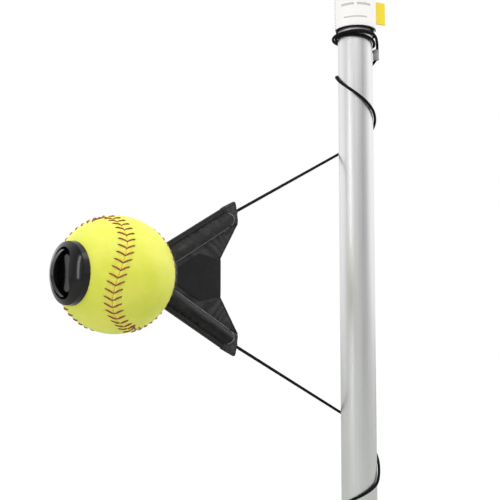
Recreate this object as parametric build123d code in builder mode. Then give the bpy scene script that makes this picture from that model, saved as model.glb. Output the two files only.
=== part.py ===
"""Tethered-ball batting trainer: a softball on a fabric wing, tied by two wound cords to a round pole.

Origin at the centre of the pole's foot, +Z up the pole, the ball out along -X. Millimetres.
"""
import os
from math import cos, pi, radians, sin, sqrt, tan

from build123d import *

os.makedirs("parts", exist_ok=True)

# ---- Driving dimensions ----
pole_d = 38.0
pole_wall = 1.6
pole_length = 760.0

ball_d = 97.0  # 12-inch softball: 305 mm round
cover_thickness = 2.1
glue_gap = 0.1  # between layers that are stuck together
ball_height = 400.0  # ball centre above the pole's foot
ball_reach = 304.4  # ball centre from the pole's axis
seam_lobe = 0.416  # radians: how near the seam comes to the ball's lobe axis
seam_heading = 193.3  # degrees: where the seam's own x axis points, seen from above
seam_lean = 3.0  # degrees: the lobe axis leans this much towards the pole

cord_d = 3.0
cord_gap = 0.4  # wound cord to pole
turn_step = 30  # degrees between a wound cord's points

spindle_d = 12.0
bolt_d = 8.0
bolt_gap = 0.05
running_gap = 0.05  # radial, ball on spindle
seat_gap = 0.4  # cap and saddle to ball

strap_width = 38.0
strap_gap = 0.3
band_thickness = 1.8
tail_thickness = 1.5
strap_edges = (("upper", 1, 276.0), ("lower", -1, 286.0))  # name, side, ball's level to the strap's near edge

arm_angle = 28.4  # wing arm above the level
arm_root = (52.5, 29.0)  # a point on the arm's outer edge: towards the pole, up, from the ball centre
hem_width = 5.5
hem_thickness = 2.4
sleeve_d = 14.0
stiffener_d = 10.0
tip_start = 75.6  # along the arm, where the tip patch begins
tip_thickness = 9.0
wing_hinge = 141.0  # ball centre to the line through both cord exits
cord_exit_height = 65.0
web_thickness = 1.0  # anchor webbing
panel_thickness = 0.9
root_clear = 53.0  # the fabric stays this far from the ball centre

# ---- Derived places ----
ball_r = ball_d / 2
core_r = ball_r - cover_thickness
pole_r = pole_d / 2
wrap_r = pole_r + cord_gap + cord_d / 2
seat_r = ball_r + seat_gap
ball_centre = Vector(-ball_reach, wrap_r, ball_height)
# Wing plane: local x towards the pole, y up, z towards -Y, which is the front.
wing_plane = Plane(origin=ball_centre, x_dir=(1, 0, 0), z_dir=(0, -1, 0))
spin_axis = Axis(ball_centre, (1, 0, 0))
sleeve_across = hem_width + sleeve_d / 2


def save(part, name):
    """Label one finished piece and write its STEP file."""
    part.label = name
    export_step(part, f"parts/{name}.step")


def on_circle(radius, height):
    """Distance along the axis to a circle's point at this height."""
    return sqrt(radius**2 - height**2)


def arm_point(along, across, side=1):
    """Wing-plane point from distances along the arm and in from its outer edge; side -1 is the lower arm."""
    c = cos(radians(arm_angle))
    s = sin(radians(arm_angle))
    x = arm_root[0] + along * c + across * s
    y = arm_root[1] + along * s - across * c
    return (x, side * y)


# ---- Pole ----
with BuildPart() as pole_tube:
    with BuildSketch():
        Circle(pole_r)
        Circle(pole_r - pole_wall, mode=Mode.SUBTRACT)
    extrude(amount=pole_length)
save(pole_tube.part, "pole_tube")

# ---- Ball: bored core, recessed at both ends, and two sewn cover panels ----
bore_r = spindle_d / 2 + running_gap
cap_recess_r = 22.0
cap_recess_floor = 37.0
saddle_recess_r = 20.0
saddle_recess_floor = 38.0

with BuildPart() as ball_core:
    with BuildSketch(wing_plane):
        with BuildLine():
            cap_lip = (-on_circle(core_r, cap_recess_r), cap_recess_r)
            saddle_lip = (on_circle(core_r, saddle_recess_r), saddle_recess_r)
            ThreePointArc(cap_lip, (0, core_r), saddle_lip)
            Polyline(
                saddle_lip,
                (saddle_recess_floor, saddle_recess_r),
                (saddle_recess_floor, bore_r),
                (-cap_recess_floor, bore_r),
                (-cap_recess_floor, cap_recess_r),
                cap_lip,
            )
        make_face()
    revolve(axis=spin_axis)
save(ball_core.part, "ball_core")

seam_plane = Plane(
    origin=ball_centre,
    x_dir=(cos(radians(seam_heading)), sin(radians(seam_heading)), sin(radians(seam_lean))),
    z_dir=(sin(radians(seam_lean)), 0, cos(radians(seam_lean))),
)
seam_steps = 24
seam_margin = 4.0  # the cutting surface runs this far past the cover, in and out


def seam_loop(radius):
    """The seam's closed curve, drawn at a given distance from the ball centre."""
    points = []
    for step in range(seam_steps):
        t = 4 * pi * step / seam_steps
        tilt = pi / 2 - (pi / 2 - seam_lobe) * cos(t)
        turn = t / 2 + seam_lobe * sin(2 * t)
        direction = Vector(sin(tilt) * cos(turn), sin(tilt) * sin(turn), cos(tilt))
        points.append(seam_plane.from_local_coords(direction * radius))
    return Edge.make_spline(points, periodic=True)


seam_cut = Face.make_surface_from_curves(seam_loop(core_r - seam_margin), seam_loop(ball_r + seam_margin))
cap_side = Plane(origin=ball_centre, z_dir=(-1, 0, 0))
saddle_side = Plane(origin=ball_centre, z_dir=(1, 0, 0))

for panel_name, kept_side in (("ball_cover_a", Keep.TOP), ("ball_cover_b", Keep.BOTTOM)):
    with BuildPart() as cover:
        with Locations(ball_centre):
            Sphere(ball_r)
            Sphere(core_r + glue_gap, mode=Mode.SUBTRACT)
        split(bisect_by=seam_cut, keep=kept_side)
        with BuildSketch(cap_side):
            Circle(cap_recess_r)
        extrude(amount=ball_d, mode=Mode.SUBTRACT)
        with BuildSketch(saddle_side):
            Circle(saddle_recess_r)
        extrude(amount=ball_d, mode=Mode.SUBTRACT)
    save(cover.part, panel_name)

# ---- Spindle: bolt moulded into the saddle, sleeve over it, insert moulded into the cap ----
sleeve_from = -(cap_recess_floor + seat_gap)
sleeve_to = saddle_recess_floor + seat_gap
insert_flats = 13.0
insert_length = 6.0
insert_sunk = 0.6  # the insert's face below the cap's
bolt_tip = -43.6
bolt_tip_gap = 0.4
bolt_head_at = 44.0
bolt_head_length = 5.5

with BuildPart() as spindle_sleeve:
    with BuildSketch(saddle_side.offset(sleeve_from)):
        Circle(spindle_d / 2)
        Circle(bolt_d / 2 + bolt_gap, mode=Mode.SUBTRACT)
    extrude(amount=sleeve_to - sleeve_from)
save(spindle_sleeve.part, "spindle_sleeve")

with BuildPart() as through_bolt:
    with BuildSketch(saddle_side.offset(bolt_tip)):
        Circle(bolt_d / 2)
    extrude(amount=bolt_head_at - bolt_tip)
    with BuildSketch(saddle_side.offset(bolt_head_at)):
        RegularPolygon(insert_flats / 2, 6, major_radius=False)
    extrude(amount=bolt_head_length)
save(through_bolt.part, "through_bolt")

insert_plane = cap_side.offset(cap_recess_floor + seat_gap + insert_sunk)
with BuildPart() as cap_insert:
    with BuildSketch(insert_plane):
        RegularPolygon(insert_flats / 2, 6, major_radius=False)
        Circle(bolt_d / 2 + bolt_gap, mode=Mode.SUBTRACT)
    extrude(amount=insert_length)
save(cap_insert.part, "cap_insert")

# ---- End cap: domed grip with a wide slot across it and an arched bar over the slot ----
cap_foot_r = 25.5
cap_shoulder = (46.4, 25.0)  # along the axis from the ball centre, and radius
cap_dome = (50.1, 18.4)
cap_crown = (52.2, 11.0)
slot_half_width = 11.5
slot_length = 41.0
slot_floor = 46.0
arch_half_width = 2.2
arch_foot = 46.0
arch_outer_half = 20.5
arch_inner_half = 15.5
arch_crown = 59.5
arch_inner_crown = 55.8
spigot_r = cap_recess_r - seat_gap
spigot_end = cap_recess_floor + seat_gap

with BuildPart() as end_cap:
    with BuildSketch(wing_plane):
        with BuildLine():
            spigot_lip = (-on_circle(seat_r, spigot_r), spigot_r)
            Polyline((-cap_crown[0], 0), (-spigot_end, 0), (-spigot_end, spigot_r), spigot_lip)
            foot = (-on_circle(seat_r, cap_foot_r), cap_foot_r)
            middle_r = (spigot_r + cap_foot_r) / 2
            ThreePointArc(spigot_lip, (-on_circle(seat_r, middle_r), middle_r), foot)
            shoulder, dome, crown = [(-along, radius) for along, radius in (cap_shoulder, cap_dome, cap_crown)]
            Line(foot, shoulder)
            ThreePointArc(shoulder, dome, crown)
            Line(crown, (-cap_crown[0], 0))
        make_face()
    revolve(axis=spin_axis)
    with BuildSketch(cap_side.offset(slot_floor)):
        SlotOverall(slot_length, 2 * slot_half_width)
    extrude(amount=ball_d, mode=Mode.SUBTRACT)
    with BuildSketch(wing_plane):
        with BuildLine():
            ThreePointArc((-arch_foot, -arch_outer_half), (-arch_crown, 0), (-arch_foot, arch_outer_half))
            ThreePointArc((-arch_foot, -arch_inner_half), (-arch_inner_crown, 0), (-arch_foot, arch_inner_half))
            Line((-arch_foot, arch_outer_half), (-arch_foot, arch_inner_half))
            Line((-arch_foot, -arch_outer_half), (-arch_foot, -arch_inner_half))
        make_face()
    extrude(amount=arch_half_width, both=True)
    with BuildSketch(insert_plane):
        RegularPolygon(insert_flats / 2, 6, major_radius=False)
    extrude(amount=insert_length, mode=Mode.SUBTRACT)
    with BuildSketch(cap_side.offset(spigot_end)):
        Circle(bolt_d / 2 + bolt_gap)
    extrude(amount=-bolt_tip - spigot_end + bolt_tip_gap, mode=Mode.SUBTRACT)
save(end_cap.part, "end_cap")

# ---- Rear saddle: cup behind the ball, with two ears that hold the webbing on a pin ----
flange_r = 23.0
flange_back = 52.2  # the flange's back is part of this sphere
saddle_spigot_r = saddle_recess_r - seat_gap
ear_half_height = 4.6
ear_inner = 1.75
ear_outer = 5.0
ear_root = 50.0  # inside the flange
ear_end = 59.4
pin_x = 56.0
pin_d = 3.0
pin_head_d = 5.0
pin_head_length = 1.2

with BuildPart() as rear_saddle:
    with BuildSketch(wing_plane):
        with BuildLine():
            spigot_lip = (on_circle(seat_r, saddle_spigot_r), saddle_spigot_r)
            edge_in = (on_circle(seat_r, flange_r), flange_r)
            edge_out = (on_circle(flange_back, flange_r), flange_r)
            middle_r = (saddle_spigot_r + flange_r) / 2
            Polyline((flange_back, 0), (sleeve_to, 0), (sleeve_to, saddle_spigot_r), spigot_lip)
            ThreePointArc(spigot_lip, (on_circle(seat_r, middle_r), middle_r), edge_in)
            Line(edge_in, edge_out)
            half_r = flange_r / 2
            ThreePointArc(edge_out, (on_circle(flange_back, half_r), half_r), (flange_back, 0))
        make_face()
    revolve(axis=spin_axis)
    for ear_side in (1, -1):
        with BuildSketch(wing_plane.offset(ear_side * ear_inner)):
            with BuildLine():
                Polyline((ear_root, ear_half_height), (ear_root, -ear_half_height), (pin_x, -ear_half_height))
                ThreePointArc((pin_x, -ear_half_height), (ear_end, 0), (pin_x, ear_half_height))
                Line((pin_x, ear_half_height), (ear_root, ear_half_height))
            make_face()
        extrude(amount=ear_side * (ear_outer - ear_inner))
    with BuildSketch(wing_plane.offset(-ear_outer)):
        with Locations((pin_x, 0)):
            Circle(pin_d / 2)
    extrude(amount=2 * ear_outer, mode=Mode.SUBTRACT)
    with BuildSketch(saddle_side.offset(sleeve_to)):
        Circle(bolt_d / 2 + bolt_gap)
    extrude(amount=bolt_head_at - sleeve_to, mode=Mode.SUBTRACT)
    with BuildSketch(saddle_side.offset(bolt_head_at)):
        RegularPolygon(insert_flats / 2, 6, major_radius=False)
    extrude(amount=bolt_head_length, mode=Mode.SUBTRACT)
save(rear_saddle.part, "rear_saddle")

with BuildPart() as saddle_pin:
    with BuildSketch(wing_plane.offset(-ear_outer)):
        with Locations((pin_x, 0)):
            Circle(pin_d / 2)
    extrude(amount=2 * ear_outer)
    for head_plane in (wing_plane.offset(ear_outer), wing_plane.offset(-ear_outer - pin_head_length)):
        with BuildSketch(head_plane):
            with Locations((pin_x, 0)):
                Circle(pin_head_d / 2)
        extrude(amount=pin_head_length)
save(saddle_pin.part, "saddle_pin")

# ---- Wing: webbing, two panels, centre patch, and on each arm a hem, sleeve, stiffener, tip and knot ----
panel_edge = hem_width + sleeve_d  # across the arm, where the panels meet the sleeve
side_gap = 0.1  # between neighbouring fabric pieces
root_along = -10.4  # along the arm, where the panels begin
notch = (117.4, 18.0)  # middle of the panels' far edge: distance out and half height
panel_corner = (140.0, 51.9)  # end of that edge, at the tip patch
web_root = 6.0  # the webbing's half height at the saddle
web_neck = 62.0
web_end = (110.0, 20.0)
patch_outline = [(60.6, 5.9), (90.5, 21.5), (117.2, 17.0)]
patch_thickness = 0.5
pin_hole_r = pin_d / 2 + 0.1

root_point = arm_point(root_along, panel_edge)
tip_inner = arm_point(tip_start - side_gap, panel_edge + 0.5)


def flat_piece(name, outline, low, high):
    """Save a flat piece of the wing: symmetric outline given from the middle up, between two depths."""
    lower_half = [(x, -y) for x, y in reversed(outline)]
    with BuildPart() as piece:
        with BuildSketch(wing_plane.offset(low)):
            with BuildLine():
                Polyline(*outline, *lower_half, close=True)
            make_face()
            with Locations((pin_x, 0)):
                Circle(pin_hole_r, mode=Mode.SUBTRACT)
        extrude(amount=high - low)
    save(piece.part, name)


half_web = web_thickness / 2
panel_in = half_web + glue_gap
panel_out = panel_in + panel_thickness
panel_outline = [(root_clear, root_point[1]), root_point, tip_inner, panel_corner, notch]
web_outline = [(root_clear, web_root), (web_neck, web_root), web_end]
flat_piece("anchor_webbing", web_outline, -half_web, half_web)
flat_piece("front_panel", panel_outline, panel_in, panel_out)
flat_piece("back_panel", panel_outline, -panel_out, -panel_in)

with BuildPart() as centre_patch:
    with BuildSketch(wing_plane.offset(panel_out + glue_gap)):
        with BuildLine():
            Polyline(*patch_outline, *[(x, -y) for x, y in reversed(patch_outline)], close=True)
        make_face()
    extrude(amount=patch_thickness)
save(centre_patch.part, "centre_patch")

hem_ends = (-7.0, -4.5)  # along the arm, where the hem begins at its outer and inner edges
hem_depth = hem_width - 0.15
tip_rim = (tip_start, -0.8)  # the tip patch's outer corner: along the arm and across it
tip_fold = 0.4  # the tip patch reaches this far past the sleeve
tip_edge = ((137.0, 74.0), (139.6, 62.0), (141.0, 52.5))  # its far edge: distance out and height
sleeve_wall = 1.6
sleeve_start = -14.0
stiffener_bore = 6.0
stiffener_start = 10.0
stiffener_gap = 0.5  # at each of its ends
knot_d = 6.0
knot_back = 9.0  # knot centre to the wing's hinge line, along the cord
pocket_gap = 0.2
cord_meets = 144.0  # where a cord meets the pole, above or below the ball's level
cord_run = (ball_reach - wing_hinge, cord_meets - cord_exit_height)
cord_run_length = sqrt(cord_run[0] ** 2 + cord_run[1] ** 2)



def arm_plane(along, side):
    """Plane across an arm's sleeve, at a distance along the arm."""
    centre = wing_plane.from_local_coords(arm_point(along, sleeve_across, side))
    arm_dir = Vector(cos(radians(arm_angle)), 0, side * sin(radians(arm_angle)))
    return Plane(origin=centre, x_dir=(0, 1, 0), z_dir=arm_dir)


for arm_name, side, _ in strap_edges:
    cord_dir = Vector(cord_run[0], 0, side * cord_run[1]) * (1 / cord_run_length)
    exit_point = ball_centre + Vector(wing_hinge, 0, side * cord_exit_height)
    knot_centre = exit_point - cord_dir * knot_back

    with BuildPart() as hem:
        with BuildSketch(wing_plane.offset(-hem_thickness / 2)):
            with BuildLine():
                Polyline(
                    arm_point(hem_ends[0], 0, side),
                    arm_point(tip_start - side_gap, 0, side),
                    arm_point(tip_start - side_gap, hem_depth, side),
                    arm_point(hem_ends[1], hem_depth, side),
                    close=True,
                )
            make_face()
        extrude(amount=hem_thickness)
    save(hem.part, f"{arm_name}_hem")

    with BuildPart() as sleeve:
        with BuildSketch(arm_plane(sleeve_start, side)):
            Circle(sleeve_d / 2)
        extrude(amount=tip_start - side_gap - sleeve_start)
        with Locations(ball_centre):
            Sphere(root_clear, mode=Mode.SUBTRACT)
        with BuildSketch(arm_plane(stiffener_start, side)):
            Circle(sleeve_d / 2 - sleeve_wall)
        extrude(amount=tip_start, mode=Mode.SUBTRACT)
    save(sleeve.part, f"{arm_name}_sleeve")

    with BuildPart() as stiffener:
        with BuildSketch(arm_plane(stiffener_start + stiffener_gap, side)):
            Circle(stiffener_d / 2)
            Circle(stiffener_bore / 2, mode=Mode.SUBTRACT)
        extrude(amount=tip_start - stiffener_start - 2 * stiffener_gap)
    save(stiffener.part, f"{arm_name}_stiffener")

    with BuildPart() as knot:
        with BuildSketch(Plane(origin=knot_centre, x_dir=cord_dir, z_dir=(0, -1, 0))):
            with BuildLine():
                neck = on_circle(knot_d / 2, cord_d / 2)
                ThreePointArc((-knot_d / 2, 0), (0, knot_d / 2), (neck, cord_d / 2))
                Line((neck, cord_d / 2), (knot_back, cord_d / 2))
                RadiusArc((knot_back, cord_d / 2), (knot_back + cord_d / 2, 0), cord_d / 2)
                Line((knot_back + cord_d / 2, 0), (-knot_d / 2, 0))
            make_face()
        revolve(axis=Axis(knot_centre, cord_dir))
    save(knot.part, f"{arm_name}_stopper_knot")

    with BuildPart() as tip:
        with BuildSketch(wing_plane.offset(-tip_thickness / 2)):
            with BuildLine():
                Polyline(
                    arm_point(*tip_rim, side),
                    *[(x, side * y) for x, y in tip_edge],
                    arm_point(tip_start, panel_edge + tip_fold, side),
                    close=True,
                )
            make_face()
        extrude(amount=tip_thickness)
        with BuildSketch(Plane(origin=knot_centre - cord_dir * (knot_d / 2 + pocket_gap), z_dir=cord_dir)):
            Circle(knot_d / 2 + pocket_gap)
        extrude(amount=knot_d + 2 * pocket_gap, mode=Mode.SUBTRACT)
        with BuildSketch(Plane(origin=knot_centre, z_dir=cord_dir)):
            Circle(cord_d / 2 + pocket_gap)
        extrude(amount=knot_back + cord_d, mode=Mode.SUBTRACT)
    save(tip.part, f"{arm_name}_tip_patch")


# ---- Cords ----
def ring_point(angle, height, radius):
    """A point round the pole: degrees seen from above, height above the ball's level, distance from the axis."""
    turned = radians(angle)
    return Vector(radius * cos(turned), radius * sin(turned), ball_height + height)


def wound(stations):
    """Points of a cord wound round the pole, one every turn_step degrees, from the last station back.

    A station is an angle, a height and a radius; between stations height and radius change evenly. Each
    point stands a little outside the turn, so that its corner's arc has the turn's radius.
    """
    points = []
    angle = stations[-1][0]
    while angle >= stations[0][0]:
        for (a0, h0, r0), (a1, h1, r1) in zip(stations, stations[1:]):
            if a0 <= angle <= a1:
                share = (angle - a0) / (a1 - a0)
                here = (h0 + (h1 - h0) * share, r0 + (r1 - r0) * share)
        points.append(ring_point(angle, here[0], here[1] / cos(radians(turn_step / 2))))
        angle -= turn_step
    return points


corner_share = 0.45  # of the shorter run beside a corner, taken up by the corner's arc


def corner_radii(points):
    """One radius for each corner: a share of the shorter run over the tangent of half the turn."""
    radii = []
    for before, here, after in zip(points, points[1:], points[2:]):
        arriving = here - before
        leaving = after - here
        half_turn = radians(arriving.get_angle(leaving)) / 2
        radii.append(corner_share * min(arriving.length, leaving.length) / tan(half_turn))
    return radii


def cord(name, points):
    """Save a cord's tube along its route, and print its tightest corner and how true its volume is."""
    radii = corner_radii(points)
    with BuildPart() as tube:
        with BuildLine() as route:
            FilletPolyline(*points, radius=radii)
        with BuildSketch(Plane(origin=route.line @ 0, z_dir=route.line % 0)):
            Circle(cord_d / 2)
        sweep()
    length = route.wire().length
    expected = pi * (cord_d / 2) ** 2 * length
    print(name, "length", round(length, 1), "volume/expected", round(tube.part.volume / expected, 4))
    print("  radii", [round(r, 1) for r in radii])
    save(tube.part, name)


hinge_clear = 1.9  # the cord's end stands this far from the wing's hinge line
first_turn = 90 + 360 - turn_step / 2  # the last wound point before the straight span, in degrees
# Angle, height from the ball's level towards the strap, radius; the first is in the ferrule.
main_stations = {
    "upper": [(-38, 246.5, 23.6), (-15, 241.0, 22.0), (15, 238.5, wrap_r), (130, 227.0, wrap_r),
              (306, 177.7, wrap_r), (328, 170.5, wrap_r), (first_turn, 146.8, wrap_r)],
    "lower": [(-38, 256.5, 23.6), (-15, 251.0, 22.0), (15, 248.5, wrap_r), (130, 240.0, wrap_r),
              (290, 210.0, wrap_r), (318, 192.0, wrap_r), (first_turn, 146.8, wrap_r)],
}
# The noose that holds each cord: height is measured from the strap's edge towards the ball.
noose_stations = [(-40, -21.5, 22.2), (-15, -16.5, 21.4), (15, -13.0, wrap_r), (90, -9.0, wrap_r),
                  (200, -4.6, wrap_r), (320, -3.8, wrap_r), (450, -5.6, wrap_r), (560, -8.2, wrap_r),
                  (620, -10.5, wrap_r), (680, -15.5, wrap_r), (705, -12.9, wrap_r), (735, -9.7, 21.0),
                  (770, -7.9, 22.9), (810, -7.4, 24.2), (920, -6.2, 24.2), (980, -6.8, 24.2),
                  (1010, -9.5, 24.6), (1035, -16.0, 25.0), (1040, -19.5, 25.1)]
ferrule_d = 6.6
ferrule_length = 11.6
ferrule_r = 23.7
ferrule_angle = -40
ferrule_below = 18.6  # the strap's edge to the ferrule's near end

for cord_name, side, strap_edge in strap_edges:
    exit_point = ball_centre + Vector(wing_hinge, 0, side * cord_exit_height)
    mirrored = [(a, side * h, r) for a, h, r in main_stations[cord_name]]
    turns = wound(mirrored)
    span = turns[0] - exit_point
    start = exit_point + span * (hinge_clear / span.length)
    cord(f"{cord_name}_cord", [start, *turns, ring_point(*mirrored[0])])
    noose = [(a, side * (strap_edge + h), r) for a, h, r in noose_stations]
    cord(f"{cord_name}_cord_noose", [ring_point(*noose[-1]), *wound(noose)[1:-1], ring_point(*noose[0])])

# ---- Ferrules, straps, labels and pull tabs ----
tail_from = 145  # degrees, seen from above
tail_to = 308
label_from = 150
label_to = 302
label_margin = 0.9
label_thickness = 0.4
tab_from = 9.5  # from the strap's edge near the ball to the tab
tab_width = 24.5
tab_length = 12.0
tab_thickness = 1.6
tab_heading = 338
tab_gap = 1.3

band_in = pole_r + strap_gap
band_out = band_in + band_thickness
tail_in = band_out + strap_gap
tail_out = tail_in + tail_thickness
label_in = tail_out + glue_gap


def ring_part(inner, outer, start, end, base, height):
    """Part of a ring round the pole, from one angle to another, standing on a level."""
    with BuildPart() as piece:
        with BuildSketch(Plane.XY.offset(base)):
            with BuildLine():
                outer_arc = CenterArc((0, 0), outer, start, end - start)
                inner_arc = CenterArc((0, 0), inner, start, end - start)
                Line(outer_arc @ 0, inner_arc @ 0)
                Line(outer_arc @ 1, inner_arc @ 1)
            make_face()
        extrude(amount=height)
    return piece.part


for strap_name, side, strap_edge in strap_edges:
    near_level = ball_height + side * strap_edge
    base = min(near_level, near_level + side * strap_width)

    ferrule_middle = near_level - side * (ferrule_below + ferrule_length / 2)
    ferrule_centre = Vector(ferrule_r * cos(radians(ferrule_angle)), ferrule_r * sin(radians(ferrule_angle)),
                            ferrule_middle)
    with BuildPart() as ferrule:
        with BuildSketch(Plane(origin=ferrule_centre - Vector(0, 0, ferrule_length / 2))):
            Circle(ferrule_d / 2)
        extrude(amount=ferrule_length)
        fillet(ferrule.edges().filter_by(GeomType.CIRCLE), 0.8)
    save(ferrule.part, f"{strap_name}_ferrule")

    with BuildPart() as band:
        with BuildSketch(Plane.XY.offset(base)):
            Circle(band_out)
            Circle(band_in, mode=Mode.SUBTRACT)
        extrude(amount=strap_width)
    save(band.part, f"{strap_name}_strap")

    save(ring_part(tail_in, tail_out, tail_from, tail_to, base, strap_width), f"{strap_name}_strap_tail")
    save(ring_part(label_in, label_in + label_thickness, label_from, label_to, base + label_margin,
                   strap_width - 2 * label_margin), f"{strap_name}_label")

    tab_root_r = (tail_in + tail_out) / 2
    tab_base = min(near_level + side * tab_from, near_level + side * (tab_from + tab_width))
    tab_root = Vector(tab_root_r * cos(radians(tail_to)), tab_root_r * sin(radians(tail_to)), tab_base)
    tab_dir = Vector(cos(radians(tab_heading)), sin(radians(tab_heading)), 0)
    with BuildPart() as tab:
        with BuildSketch(Plane(origin=tab_root + tab_dir * tab_gap, x_dir=tab_dir, z_dir=(0, 0, 1))):
            Rectangle(tab_length, tab_thickness, align=(Align.MIN, Align.CENTER))
        extrude(amount=tab_width)
    save(tab.part, f"{strap_name}_pull_tab")
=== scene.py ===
"""Looks of the tethered-ball batting trainer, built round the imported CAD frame. Metres, +Z up.

Sizes named here in millimetres are the CAD model's own; the wing's fabric is laid out in the wing's plane,
with x towards the pole, y up from the ball centre, and depth towards the front, which is -Y.
"""

from math import acos, asin, copysign, cos, exp, pi, radians, sin, sqrt

import bmesh
import bpy
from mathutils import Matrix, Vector, kdtree, noise
from mathutils.geometry import delaunay_2d_cdt


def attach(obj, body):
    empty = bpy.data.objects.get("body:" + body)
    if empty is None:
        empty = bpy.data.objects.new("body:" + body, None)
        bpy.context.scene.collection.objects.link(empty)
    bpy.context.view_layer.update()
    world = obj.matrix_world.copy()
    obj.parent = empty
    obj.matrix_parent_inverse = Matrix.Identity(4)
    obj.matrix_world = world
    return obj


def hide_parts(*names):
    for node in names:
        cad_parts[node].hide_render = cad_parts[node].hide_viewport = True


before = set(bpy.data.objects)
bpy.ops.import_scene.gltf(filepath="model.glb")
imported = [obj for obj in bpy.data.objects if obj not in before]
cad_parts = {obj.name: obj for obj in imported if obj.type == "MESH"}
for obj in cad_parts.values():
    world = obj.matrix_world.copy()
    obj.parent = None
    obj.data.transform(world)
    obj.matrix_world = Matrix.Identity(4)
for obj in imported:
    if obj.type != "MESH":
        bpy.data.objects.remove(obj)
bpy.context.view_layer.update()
mm = 0.001

# ---- The CAD model's driving dimensions, millimetres ----
ball_r = 48.5
ball_height = 400.0
ball_reach = 304.4
pole_r = 19.0
cord_d = 3.0
wrap_r = pole_r + 0.4 + cord_d / 2
ball_centre = Vector((-ball_reach, wrap_r, ball_height))
# Each half's name, its side of the ball's level, and how far from that level its strap begins.
strap_edges = (("upper", 1, 276.0), ("lower", -1, 286.0))

arm_angle = radians(28.4)
arm_cos = cos(arm_angle)
arm_sin = sin(arm_angle)
arm_root = (52.5, 29.0)
hem_width = 5.5
hem_thickness = 2.4
sleeve_d = 14.0
sleeve_across = hem_width + sleeve_d / 2
panel_edge = hem_width + sleeve_d
tip_start = 75.6
tip_thickness = 9.0
tip_corners = ((137.0, 74.0), (139.6, 62.0), (141.0, 52.5))  # the upper tip patch's outer corners
tip_sewing = ((134.6, 71.2), (137.4, 61.5))
wing_hinge = 141.0
cord_exit_height = 65.0
root_clear = 53.0
notch = (117.4, 18.0)


# ---- Number helpers ----
def clamp(value, low=0.0, high=1.0):
    """The value, kept between two limits."""
    return max(low, min(high, value))


def bell(distance, width):
    """A smooth bump: 1 at no distance, nearly 0 from two widths on."""
    return exp(-((distance / width) ** 2))


def signed_power(value, power):
    """A power of the value's size, with the value's sign."""
    return copysign(abs(value) ** power, value)


def circle_steps(count):
    """Even steps round a circle, in radians."""
    return [2 * pi * step / count for step in range(count)]


# ---- Mesh helpers ----
sharp_edge = radians(50)  # creases steeper than this stay sharp


def add_object(name, data, material):
    """Link a mesh or curve with its material; its points are already in the row frame."""
    made = bpy.data.objects.new(name, data)
    bpy.context.scene.collection.objects.link(made)
    data.materials.append(material)
    return made


def smooth_mesh(name, points, faces, merge=False):
    """A smooth-shaded mesh from millimetre points, with outward normals; merge joins equal points."""
    mesh = bpy.data.meshes.new(name)
    mesh.from_pydata([Vector(p) * mm for p in points], [], faces)
    work = bmesh.new()
    work.from_mesh(mesh)
    if merge:
        bmesh.ops.remove_doubles(work, verts=work.verts, dist=1e-6)
    bmesh.ops.recalc_face_normals(work, faces=work.faces)
    work.to_mesh(mesh)
    work.free()
    mesh.shade_smooth()
    return mesh


def settle(piece, body, slot, *nodes):
    """Ride a body and stand for CAD nodes, which it hides; slot is not used."""
    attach(piece, body)
    if nodes:
        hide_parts(*nodes)
    return piece


def add_piece(name, shape, material, body, slot, *nodes):
    """A settled mesh object from (points, faces), with its sharp edges kept."""
    mesh = smooth_mesh(name, *shape, merge=True)
    mesh.set_sharp_from_angle(angle=sharp_edge)
    return settle(add_object(name, mesh, material), body, slot, *nodes)


def paint(mesh, name, values):
    """Store one number for each point, which a material reads by its name."""
    mesh.attributes.new(name, "FLOAT", "POINT").data.foreach_set("value", values)


def skin(rings, closed=False):
    """Points and faces of a tube through rings of equal count, capped unless it closes on itself."""
    count = len(rings[0])
    points = [p for ring in rings for p in ring]
    faces = []
    for i in range(len(rings) if closed else len(rings) - 1):
        a = i * count
        b = (i + 1) % len(rings) * count
        for j in range(count):
            k = (j + 1) % count
            faces.append((a + j, a + k, b + k, b + j))
    if not closed:
        faces.append(tuple(reversed(range(count))))
        faces.append(tuple(range(len(points) - count, len(points))))
    return points, faces


def path_heading(path, k, loop=False):
    """A path's direction at its point k, from the points on either side; a loop's ends are neighbours."""
    after = path[(k + 1) % len(path)] if loop else path[min(k + 1, len(path) - 1)]
    before = path[k - 1] if loop else path[max(k - 1, 0)]
    return (Vector(after) - Vector(before)).normalized()


def gather(parts):
    """Several (points, faces) joined into one."""
    points = []
    faces = []
    for more_points, more_faces in parts:
        start = len(points)
        points.extend(more_points)
        faces.extend(tuple(i + start for i in face) for face in more_faces)
    return points, faces


def bead(centre, along, up, length, width, height):
    """One sewn stitch: a short rounded bar whose ends dive into the cloth."""
    side = along.cross(up)
    rings = []
    for step in range(5):
        share = step / 4 * 2 - 1
        swell = sqrt(max(0.06, 1 - share**4))
        middle = centre + along * (share * length / 2) + up * (height * (0.5 - 1.3 * share**2))
        ring = []
        for turn in circle_steps(6):
            ring.append(middle + (side * cos(turn) * width + up * sin(turn) * height) * (swell / 2))
        rings.append(ring)
    return skin(rings)


def stitch_row(path, pitch, length, up_at, width, height):
    """Stitches along a polyline, one every pitch; up_at gives the cloth's outward direction at a point."""
    parts = []
    travelled = 0.0
    due = pitch / 2
    for start, end in zip(path, path[1:]):
        run = (end - start).length
        along = (end - start).normalized()
        while due <= travelled + run:
            place = start + along * (due - travelled)
            parts.append(bead(place, along, up_at(place), length, width, height))
            due += pitch
        travelled += run
    return gather(parts)


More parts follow.
